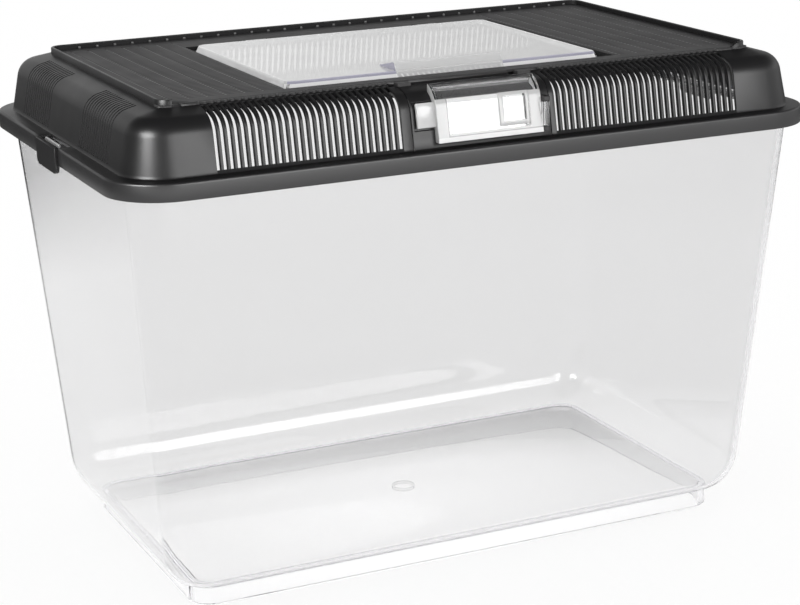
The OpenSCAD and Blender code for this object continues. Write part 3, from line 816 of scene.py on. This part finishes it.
bm = bmesh.new()
skin = [foot_ring(bm, z, inset) for z, inset in
        ((FOOT_H, 4.4), (FOOT_H - 0.5, 3.9), (0.4, 3.9), (0, 3.5), (0, 0.4), (0.4, 0),
         (FOOT_H - 0.7, 0), (FOOT_H - 0.15, 0.35))]
skin += [round_ring(bm, a, 0) for a in range(80, -1, -10)]
skin += [wall_ring(bm, z, 0) for z in (BELLY_Z + 4, MID_Z, RIM_Z - 1.4)]
skin += [level_loop(bm, RIM_L - 2 * i, RIM_W - 2 * i, RIM_R - i, z, steps=8)
         for i, z in ((4.5, RIM_Z - 0.8), (0.4, RIM_Z - 0.4), (0, RIM_Z), (0, TANK_H - 0.4),
                      (0.4, TANK_H))]
skin += [wall_ring(bm, z, TANK_T) for z in (TANK_H, TANK_H - 0.6, MID_Z, BELLY_Z + 4)]
skin += [round_ring(bm, a, TANK_T) for a in range(0, 91, 10)]
bridge(bm, skin)
cap(bm, skin[0], skin[-1])
face_out(bm)
# The foot's bevel takes the violet painted light.
paint(bm, foot_bevel)
piece("tank_shell", bm, "tank", tank_clear, violet_edge_light, smooth=30, replaces=("tank",))

# %% Gate ring under the floor
GATE_IN, GATE_OUT, GATE_LOW, GATE_HIGH = 6.9, 7.7, 10.5, FOOT_H + 0.1
bm = bmesh.new()
rings = []
for r, z in ((GATE_IN, GATE_HIGH), (GATE_IN, GATE_LOW), (GATE_OUT, GATE_LOW),
             (GATE_OUT, GATE_HIGH)):
    verts = ops.create_circle(bm, segments=32, radius=r,
                              matrix=Matrix.Translation((0, 0, z)))["verts"]
    rings.append(list({e for v in verts for e in v.link_edges}))
bridge(bm, rings, closed=True)
face_out(bm)
piece("gate_ring", bm, "tank", tank_clear)

# %% [markdown]
# ## The window in the deck
# The window is a shallow milky tray turned upside down, with a clear underside. Its upper edges
# are cut back by a bevel, and painted highlights lie on them: violet above and white below at
# the front, and white along the right and the back. A wedge in the middle of its front edge
# gives fingers a grip. Two barrels with pins carry it at the back.

# %% Window
WIN_L, WIN_W, WIN_H = 211.0, 160.0, 5.4
WIN_X, WIN_Y = -7.75, -15.2
GRIP_X, GRIP_L = -5.75, 71.0
CLEAR_T, EDGE_W = 2.0, 4.2
MILKY, CLEAR, VIOLET_LIGHT, EDGE_HIGHLIGHT = range(4)
bm = bmesh.new()


def window_ring(inset, z, radius):
    """A level ring of the tray, z above the ledge that it lies on."""
    return level_loop(bm, WIN_L - 2 * inset, WIN_W - 2 * inset, radius, SEAT_Z + z,
                      (WIN_X, WIN_Y), 5)


outer_rings = [window_ring(i, z, r) for i, z, r in
               ((0.2, 0, 5.8), (0, 0.3, 6), (1.5, 4.0, 6), (1.75, 4.6, 6), (1.95, 4.95, 5.8),
                (2.3, 5.3, 5.4), (2.7, WIN_H, 5), (4.2, WIN_H, 4))]
inner_rings = [window_ring(i, z, r) for i, z, r in
               ((4.6, 3.4, 3.6), (3.9, 3.0, 4), (2.3, 0.3, 4), (CLEAR_T, 0, 4))]
bridge(bm, outer_rings)
bridge(bm, inner_rings)
bridge(bm, [outer_rings[0], inner_rings[-1]])
cap(bm, outer_rings[-1], inner_rings[0])
for x in (GRIP_X - GRIP_L / 2, GRIP_X + GRIP_L / 2):
    ops.bisect_plane(bm, geom=bm.verts[:] + bm.edges[:] + bm.faces[:],
                     plane_co=(x, 0, 0), plane_no=(1, 0, 0))
face_out(bm)
win_front, win_back, win_right = WIN_Y - WIN_W / 2, WIN_Y + WIN_W / 2, WIN_X + WIN_L / 2


def window_finish(f, c):
    """The finish of a face of the tray, from its place on the underside or an edge."""
    edge_gap = max(abs(c.x - WIN_X) - WIN_L / 2, abs(c.y - WIN_Y) - WIN_W / 2)
    if edge_gap < -CLEAR_T - 0.1 and f.normal.z < 0.5 and c.z < SEAT_Z + 3.5:
        return CLEAR
    # The edges take painted highlights: violet and white at the front, white at the right and the
    # back.
    if c.y < win_front + EDGE_W and abs(c.x - GRIP_X) > GRIP_L / 2:
        return VIOLET_LIGHT if c.z > SEAT_Z + 4 else EDGE_HIGHLIGHT
    if c.z > SEAT_Z + 4.7 and (c.x > win_right - EDGE_W or c.y > win_back - EDGE_W):
        return EDGE_HIGHLIGHT
    return MILKY


paint(bm, window_finish)
piece("window_tray", bm, "top_window", window_milky, door_clear, violet_edge_light, window_edge_highlight,
      smooth=25, replaces=("top_window",))

# %% Window grip
GRIP_Z = SEAT_Z + WIN_H + 0.03
bm = bmesh.new()
profile = [(2.9, 0), (4.6, 3.4), (5.4, 4.4), (6.0, 4.57), (8.0, 4.57), (9.0, 4.3), (26.5, 0.3),
           (26.5, 0)]
start = chain(bm, [(GRIP_X - GRIP_L / 2, win_front + y, GRIP_Z + z) for y, z in profile],
              closed=True)
end = carry(bm, start, along((1, 0, 0), 0, GRIP_L))
cap(bm, start, end)
face_out(bm)
# The grip's ends take the violet painted light.
paint(bm, lambda f, c: abs(f.normal.x) > 0.9)
piece("window_grip", bm, "top_window", door_milky_and_lit, violet_edge_light, smooth=30, soften=0.3)

# %% Window barrels
HINGE_Y, HINGE_Z, HINGE_OUT = 68.3, 311.4, 62
BARREL_HALF, BARREL_R, PIN_HALF, PIN_R = 7, 2.1, 10, 1.2


def hinge_rod(bm, x, half, radius, segments):
    """A round bar on the window's hinge line, reaching half its length to each side of x."""
    rod(bm, (x - half, HINGE_Y, HINGE_Z), (x + half, HINGE_Y, HINGE_Z), radius, segments)


for side, way in (("left", -1), ("right", 1)):
    x = GRIP_X + way * HINGE_OUT
    bm = bmesh.new()
    hinge_rod(bm, x, BARREL_HALF, BARREL_R, 24)
    hinge_rod(bm, x, PIN_HALF, PIN_R, 16)
    block(bm, (x - BARREL_HALF, HINGE_Y - 5.0, HINGE_Z - 0.8),
          (x + BARREL_HALF, HINGE_Y - 0.4, HINGE_Z + 0.8))
    piece("window_barrel_" + side, bm, "top_window", window_milky, smooth=40)

# %% Window lugs on the deck
LUG_OUT, LUG_HALF, LUG_R = 9.1, 1.7, 2.4
bm = bmesh.new()
for x in [GRIP_X + s * HINGE_OUT + e * LUG_OUT for s in (-1, 1) for e in (-1, 1)]:
    hinge_rod(bm, x, LUG_HALF, LUG_R, 24)
    block(bm, (x - LUG_HALF, HINGE_Y - LUG_R, SEAT_Z - 1), (x + LUG_HALF, HINGE_Y + LUG_R, HINGE_Z))
piece("window_lugs", bm, "lid", lid_black, smooth=40)

# %% [markdown]
# ## The front panel
# The panel is a separate black insert that closes the front of the dome. It repeats the dome's
# profile, with a thin shadow gap at each side, and it has an opening behind the feeding door
# and a shallow finger recess beside it. Two tabs hook it under the deck's front edge, where two
# blocks of painted shade stand dark below the slots, and two ears hold the door's barrel.

# %% Panel
def front_sheet(line, low, high, marks, probe, capped=False):
    """A line of (inset, z) points carried along the front wall from low to high. The face
    nearest to the probe (x, inset, z) has to look to the front."""
    bm = bmesh.new()
    start = chain(bm, [(low, -half_w + i, z) for i, z in line])
    end = carry(bm, start, along((1, 0, 0), low, high, marks))
    if capped:
        cap(bm, start, end)
    close_up(bm, ((probe[0], -half_w + probe[1], probe[2]), (0, -1, 0)))
    return bm


DOOR = (-36.0, 33.0)
OPEN_X, OPEN_Z = (-28.0, 24.0), (281.5, 303.2)
RECESS_X, RECESS_Z = (-49.0, -36.5), (285.7, 302.0)
foot = dome_profile()[0][0]
outline = [(foot - 1.0, LEDGE_Z - 0.1), (foot - 0.25, LEDGE_Z + 0.2),
           *[(foot + (z - LEDGE_Z) * math.tan(LEAN), z)
             for z in (LEDGE_Z + 0.75, OPEN_Z[0], RECESS_Z[0])],
           *dome_profile(stop=PANEL_TOP, arc=14)[1:]]
bm = front_sheet(outline, *PANEL, [*OPEN_X, *RECESS_X, *DOOR], (0, 10, LEDGE_Z + 2))
drop_faces(bm, lambda c: OPEN_X[0] < c.x < OPEN_X[1] and OPEN_Z[0] < c.z < OPEN_Z[1])
sunk = [f for f in bm.faces if RECESS_X[0] < (c := f.calc_center_median()).x < RECESS_X[1]
        and RECESS_Z[0] < c.z < RECESS_Z[1]]
ops.inset_region(bm, faces=sunk, thickness=0.3, depth=-1.2, use_even_offset=True)
piece("panel_shell", bm, "lid", lid_black, wall=WALL, soften=0.35, replaces=("front_panel",),
      slot="black_panel")

# %% Panel tabs and the door's ears
TAB_W, TAB_X = 8.5, (PANEL[0], PANEL[1] - 11.3)
AXIS_X, AXIS_Y = 35.4, -138.1
EAR_T, EAR_R, EARS_Z = 2.6, 2.1, (278.8, 296.8)
bm = bmesh.new()
for x in TAB_X:
    block(bm, (x, -half_w + PANEL_TOP - 1, DECK_Z - 3.6),
          (x + TAB_W, -half_deck_w + 2, DECK_Z - 0.3))
for z in EARS_Z:
    block(bm, (AXIS_X - EAR_R, AXIS_Y, z), (AXIS_X + EAR_R, AXIS_Y + 8, z + EAR_T))
    rod(bm, (AXIS_X, AXIS_Y, z), (AXIS_X, AXIS_Y, z + EAR_T), EAR_R, 20)
# The tabs take the deck's lighter copy of the black, painted light.
piece("panel_tabs", bm, "lid", deck_lit_black, smooth=40, soften=0.3, slot="black_panel")

# %% Painted shade in the holes under the slots for the tabs
# Painted shade: dark blocks put in the holes below the slots, where shade falls.
bm = bmesh.new()
for low, high in TAB_HOLES:
    block(bm, (low - 1, -half_w + 28.5, 303.5), (high + 1, -half_deck_w + 4, 308.7))
piece("tab_hole_shade", bm, "lid", shade_black)

# %% [markdown]
# ## The feeding door
# The door is a small clear tray bent to the dome's profile, standing four millimetres proud. Its
# clear border carries painted light and shade: milky below, grey at the sides, with a thin dark
# line where it meets the clear face. It has a raised square ring on its face, painted grey for
# its shade, a milky finger tab at the left and a barrel at the right.

# %% Door tray
DOOR_RISE, DOOR_Z0, DOOR_IN = 4.4, 278.4, 21.0


def door_line(offset, start, inset_stop, arc=10):
    """The dome's side line, ended at an inset. A negative offset raises it."""
    last = math.acos((ROUND_INSET - inset_stop) / (DOME_R - offset))
    return side_line(offset, start, last, arc)


BORDER_X, BORDER_Z, BORDER_TOP = (-28.5, 25.0), 283.0, 303
MILKY_Z, LINE_Z, LINE_X = 281.2, 281.9, BORDER_X[0] - 0.7
DOOR_CLEAR, DOOR_LIT_FOOT, DOOR_SHADE, DOOR_LINE_SHADE = range(4)


def door_finish(f, c):
    """The finish of a face of the door, from its place on the border or the clear face."""
    # The border's milky foot is painted light; its grey sides and its dark line are painted shade.
    right_of_line = c.x > BORDER_X[0]
    if c.z >= BORDER_Z and (c.z >= BORDER_TOP or BORDER_X[0] < c.x < BORDER_X[1]):
        return DOOR_CLEAR
    if c.z <= MILKY_Z:
        return DOOR_LIT_FOOT
    if right_of_line and c.z < LINE_Z or not right_of_line and c.x > LINE_X:
        return DOOR_LINE_SHADE
    return DOOR_SHADE


face_line = door_line(-DOOR_RISE, DOOR_Z0, DOOR_IN)
back_line = door_line(0.3, DOOR_Z0, DOOR_IN)
low = next(i for i, p in enumerate(face_line) if p[1] > BORDER_Z)
face_line[low:low] = [(face_line[0][0] + (z - DOOR_Z0) * math.tan(LEAN), z)
                      for z in (MILKY_Z, LINE_Z, BORDER_Z)]
line = [back_line[0], *face_line, back_line[-1]]
bm = front_sheet(line, *DOOR, (LINE_X, *BORDER_X), (0, 6, 290), capped=True)
paint(bm, door_finish)
piece("door_tray", bm, "feeding_door", door_clear, door_milky_and_lit, door_grey_shade, door_dark_shade,
      wall=CLEAR_T, soften=0.4, replaces=("feeding_door",))

# %% Door ring
RING_X, RING_Z0, RING_INSET = (4.6, 24.4), 284.5, 10.4
RING_LEFT, RING_RIGHT, RING_LOW, RING_TOP = 2.8, 2.2, 2.6, 1.8
outer_line = door_line(-(DOOR_RISE + 1), RING_Z0, RING_INSET, 16)
outer_line.insert(1, (outer_line[0][0] + RING_LOW * math.tan(LEAN), RING_Z0 + RING_LOW))
ring_inside = RING_X[0] + RING_LEFT, RING_X[1] - RING_RIGHT
bm = front_sheet(outer_line, *RING_X, ring_inside, (14, 5, 290))
ring_top = max(z for i, z in outer_line)
drop_faces(bm, lambda c: ring_inside[0] < c.x < ring_inside[1]
           and RING_Z0 + RING_LOW < c.z < ring_top - RING_TOP)
# The ring is painted grey for its shade.
piece("door_ring", bm, "feeding_door", door_grey_shade, wall=1.2, soften=0.25)

# %% Door tab
FINGER_X, FINGER_Z0, FINGER_IN, FINGER_RISE = (-47.4, -35.0), 287.6, 13.2, 2
tab_line = door_line(-FINGER_RISE, FINGER_Z0, FINGER_IN)
bm = front_sheet(tab_line, *FINGER_X, (), (-42, 7, 290))
piece("door_tab", bm, "feeding_door", door_milky_and_lit, wall=2.2, soften=0.5)

# %% Door barrel
bm = bmesh.new()
for low, high, radius, segments in ((282.2, 296.4, 1.9, 20), (279.8, 298.8, 1.1, 16)):
    rod(bm, (AXIS_X, AXIS_Y, low), (AXIS_X, AXIS_Y, high), radius, segments)
block(bm, (DOOR[1] - 0.8, AXIS_Y - 1, 282.2), (AXIS_X - 0.2, AXIS_Y + 0.6, 296.4))
piece("door_barrel", bm, "feeding_door", door_clear, smooth=40)

# %% [markdown]
# ## The snap latches
# Each latch is a plate that hangs in a gap of the skirt, with rounded lower corners, a hinge
# bead at its top and a catch behind it, which reaches towards the tank's rim. A milky strip
# lies on the rim behind each latch.

# %% Latches
LATCH_W, LATCH_H, LATCH_T, LATCH_R = 40, 16.2, 2.8, 4
LATCH_OUT, LATCH_Z = half_l + 1.8, 266.7
FLEX_X, FLEX_Z = 228.2, 271.2
CATCH, CATCH_W = ((230.8, 261.6), (226.4, 267.2), (226.4, 268.8), (230.8, 269.2)), 24
UPRIGHT = Matrix(((0, 0, 1), (1, 0, 0), (0, 1, 0)))
for side, way in (("left", -1), ("right", 1)):
    bm = bmesh.new()
    plate = ops.create_grid(bm, x_segments=1, y_segments=1, size=0.5)["verts"]
    ops.scale(bm, vec=(LATCH_W, LATCH_H, 1), verts=plate)
    low = [v for v in plate if v.co.y < 0]
    round_off(bm, low, LATCH_R, 5)
    ops.rotate(bm, verts=bm.verts, cent=(0, 0, 0), matrix=UPRIGHT)
    ops.translate(bm, verts=bm.verts, vec=(way * LATCH_OUT, 0, LATCH_Z))
    thicken(bm, (-way * LATCH_T, 0, 0))
    for reach, radius, segments in ((20, 1.4, 20), (22.6, 1.1, 16)):
        rod(bm, (way * FLEX_X, -reach, FLEX_Z), (way * FLEX_X, reach, FLEX_Z), radius, segments)
    piece("latch_" + side, bm, "snap_latch_" + side, lid_black, smooth=40, soften=0.4,
          replaces=("snap_latch_" + side,))
    bm = bmesh.new()
    start = chain(bm, [(way * x, -CATCH_W / 2, z) for x, z in CATCH], closed=True)
    end = carry(bm, start, along((0, 1, 0), 0, CATCH_W))
    cap(bm, start, end)
    face_out(bm)
    piece("latch_catch_" + side, bm, "snap_latch_" + side, lid_black)

# %% Rim strips behind the latches
STRIP_X, STRIP_Y = (225.2, 226.5), (-11, 18)
bm = bmesh.new()
for low, high in ((-STRIP_X[1], -STRIP_X[0]), STRIP_X):
    block(bm, (low, STRIP_Y[0], TANK_H + 0.05), (high, STRIP_Y[1], LEDGE_Z - 0.3))
piece("rim_strips", bm, "tank", door_milky_and_lit, soften=0.2)

# %% [markdown]
# ## The studio
# The keeper stands in a white studio. What the camera sees directly, or through clear plastic,
# is white. What the black lid reflects is drawn apart. Its sky is a bright horizon under a dark
# ceiling, so the front shows a light band and the bend above it stays dark. Its floor is a light
# sheet near the keeper, dim further off, and brighter in front, where the skirt looks. One soft
# box stands in front and one to the left.

# %% Helpers for light
TURNED_BACK = 0.6


def calculator(nodes, links):
    """Two makers of maths nodes, which take sockets or numbers and return an output. The second
    one gives gain times source plus start, kept between low and high."""
    def maths(operation, *values):
        made = nodes.new("ShaderNodeMath")
        made.operation = operation
        for socket, value in zip(made.inputs, values):
            if isinstance(value, (int, float)):
                socket.default_value = value
            else:
                links.new(value, socket)
        return made.outputs[0]

    def slope(source, gain, start, low, high):
        value = maths("MULTIPLY_ADD", source, gain, start)
        return maths("MINIMUM", high, maths("MAXIMUM", low, value))
    return maths, slope


def length(nodes, links, vector):
    """A node output with the length of a vector."""
    made = nodes.new("ShaderNodeVectorMath")
    made.operation = "LENGTH"
    links.new(vector, made.inputs[0])
    return made.outputs["Value"]


def seen_white(nodes, links, hidden, seen):
    """Mixes two shaders. The seen one shows in full to a ray that comes straight from the
    camera, through clear plastic or from a dull surface, and in part to one that was turned
    back inside the plastic. The hidden one shows to every other ray."""
    maths = calculator(nodes, links)[0]
    path = nodes.new("ShaderNodeLightPath").outputs
    inside = maths("GREATER_THAN", path["Transmission Depth"], 0.5)
    straight = maths("MAXIMUM", path["Is Camera Ray"], path["Is Transmission Ray"])
    straight = maths("MAXIMUM", straight, path["Is Diffuse Ray"])
    mixed = nodes.new("ShaderNodeMixShader")
    links.new(maths("MAXIMUM", straight, maths("MULTIPLY", inside, TURNED_BACK)), mixed.inputs[0])
    links.new(hidden.outputs[0], mixed.inputs[1])
    links.new(seen.outputs[0], mixed.inputs[2])
    return mixed.outputs[0]


# %% World
HORIZON = (0.45, 0.5)
BANDS = ((0.53, 0.6), (0.58, 0.7), (0.62, 1.0), (0.66, 0.95), (0.72, 0.22), (0.82, 0.05))
CEILING = (0.05, 0.05, 0.055, 1)
SIDE_GAIN, SIDE_START = 0.67, 0.99
FAR_RIGHT, FAR_RIGHT_GAIN, DARKEST = 0.3, -3.4, 0.1
scene.view_settings.view_transform = "Standard"
world = bpy.data.worlds.new("studio")
scene.world = world
world.use_nodes = True
nodes, links = world.node_tree.nodes, world.node_tree.links
maths, slope = calculator(nodes, links)
split = nodes.new("ShaderNodeSeparateXYZ")
links.new(nodes.new("ShaderNodeTexCoord").outputs["Generated"], split.inputs[0])
toward = split.outputs
sky = nodes.new("ShaderNodeValToRGB")
links.new(maths("MULTIPLY_ADD", toward["Z"], 0.5, 0.5), sky.inputs["Fac"])
bands = sky.color_ramp.elements
bands[0].position, bands[0].color = HORIZON[0], grey(HORIZON[1])
bands[1].position, bands[1].color = 1.0, CEILING
for position, value in BANDS:
    bands.new(position).color = grey(value)
# The sky is brighter towards the right, but dark far behind on the right.
far_right = maths("MULTIPLY", maths("MAXIMUM", 0, maths("SUBTRACT", toward["X"], FAR_RIGHT)),
                  maths("MAXIMUM", 0, toward["Y"]))
strength = maths("MULTIPLY_ADD", toward["X"], SIDE_GAIN, SIDE_START)
strength = maths("MAXIMUM", DARKEST, maths("MULTIPLY_ADD", far_right, FAR_RIGHT_GAIN, strength))
room = nodes.new("ShaderNodeBackground")
links.new(sky.outputs["Color"], room.inputs["Color"])
links.new(strength, room.inputs["Strength"])
plain = nodes.new("ShaderNodeBackground")
fill(plain, Color=grey(1))
links.new(seen_white(nodes, links, room, plain), nodes["World Output"].inputs["Surface"])
print("sky bands:", len(bands))

# %% Floor
FLOOR_HALF, FLOOR_GREY = 4, 0.85
GLOW, GLOW_SHARE = 1.02, 0.88
POOL_SHAPE, POOL_GLOW = (2.6, 4.6, 1), 0.5
SHEET, BEYOND = (-2.2, 2.45, 0, 0.95), (-0.45, 0.38, 0.06, 0.85)
BEFORE, ASIDE = (-4.0, -1.6, 0, 2.3), (-1.2, 1.42, 0.2, 1.0)
bm = bmesh.new()
ops.create_grid(bm, x_segments=1, y_segments=1, size=FLOOR_HALF)
floor_mesh = bpy.data.meshes.new("floor")
bm.to_mesh(floor_mesh)
bm.free()
floor = add_object("floor", floor_mesh)
floor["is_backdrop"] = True
floor_white, nodes, links, shader = material("floor_white")
maths, slope = calculator(nodes, links)
fill(shader, Base_Color=grey(FLOOR_GREY), Roughness=1, Specular_IOR_Level=0)
place = nodes.new("ShaderNodeTexCoord").outputs["Object"]
# Seen directly it is a dull white with an even glow. Through the tank a pool of light is added
# round the middle.
spread = nodes.new("ShaderNodeMapping")
fill(spread, Scale=POOL_SHAPE)
links.new(place, spread.inputs["Vector"])
pool = maths("MAXIMUM", 0.0, maths("SUBTRACT", 1.0, length(nodes, links, spread.outputs[0])))
through = nodes.new("ShaderNodeLightPath").outputs["Is Transmission Ray"]
glow = nodes.new("ShaderNodeEmission")
links.new(maths("MULTIPLY_ADD", maths("MULTIPLY", pool, through), POOL_GLOW, GLOW),
          glow.inputs["Strength"])
lit = nodes.new("ShaderNodeMixShader")
fill(lit, Fac=GLOW_SHARE)
links.new(shader.outputs[0], lit.inputs[1])
links.new(glow.outputs[0], lit.inputs[2])
# In reflections its brightness depends on the place alone.
split = nodes.new("ShaderNodeSeparateXYZ")
links.new(place, split.inputs[0])
sheet = slope(length(nodes, links, place), *SHEET)
beyond = slope(split.outputs["Y"], *BEYOND)
before = slope(split.outputs["Y"], *BEFORE)
aside = slope(split.outputs["X"], *ASIDE)
dim = nodes.new("ShaderNodeEmission")
links.new(maths("MAXIMUM", sheet, maths("MAXIMUM", beyond, maths("MULTIPLY", before, aside))),
          dim.inputs["Strength"])
links.new(seen_white(nodes, links, dim, lit), nodes["Material Output"].inputs["Surface"])
floor_mesh.materials.append(floor_white)
print("floor:", 2 * FLOOR_HALF, "m wide")


# %% Soft boxes
LID_MIDDLE = Vector((0, 0, 0.26))


def soft_box(name, place, width, height, energy):
    """A lamp that faces the middle of the lid and leaves dull surfaces as they are."""
    data = bpy.data.lights.new(name, "AREA")
    data.shape = "ELLIPSE"
    data.size, data.size_y = width, height
    data.energy = energy
    lamp = add_object(name, data)
    lamp.visible_diffuse = False
    lamp.location = place
    aim = LID_MIDDLE - Vector(place)
    lamp.rotation_euler = aim.to_track_quat("-Z", "Y").to_euler()
    print(name, "stands", round(aim.length, 2), "m from the lid")


soft_box("front_box", (0.45, -1.7, 0.72), 1.3, 0.8, 18)
soft_box("left_box", (-1.6, -0.85, 1.0), 1.15, 0.8, 56)

# %% [markdown]
# ## Sizes
# The box round the finished model is printed in millimetres. The finished model has to
# stay inside the CAD part's box.

# %% Sizes and finish
low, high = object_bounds()
print("finished box in mm:", [round(v / MM, 1) for v in (*low, *high)])
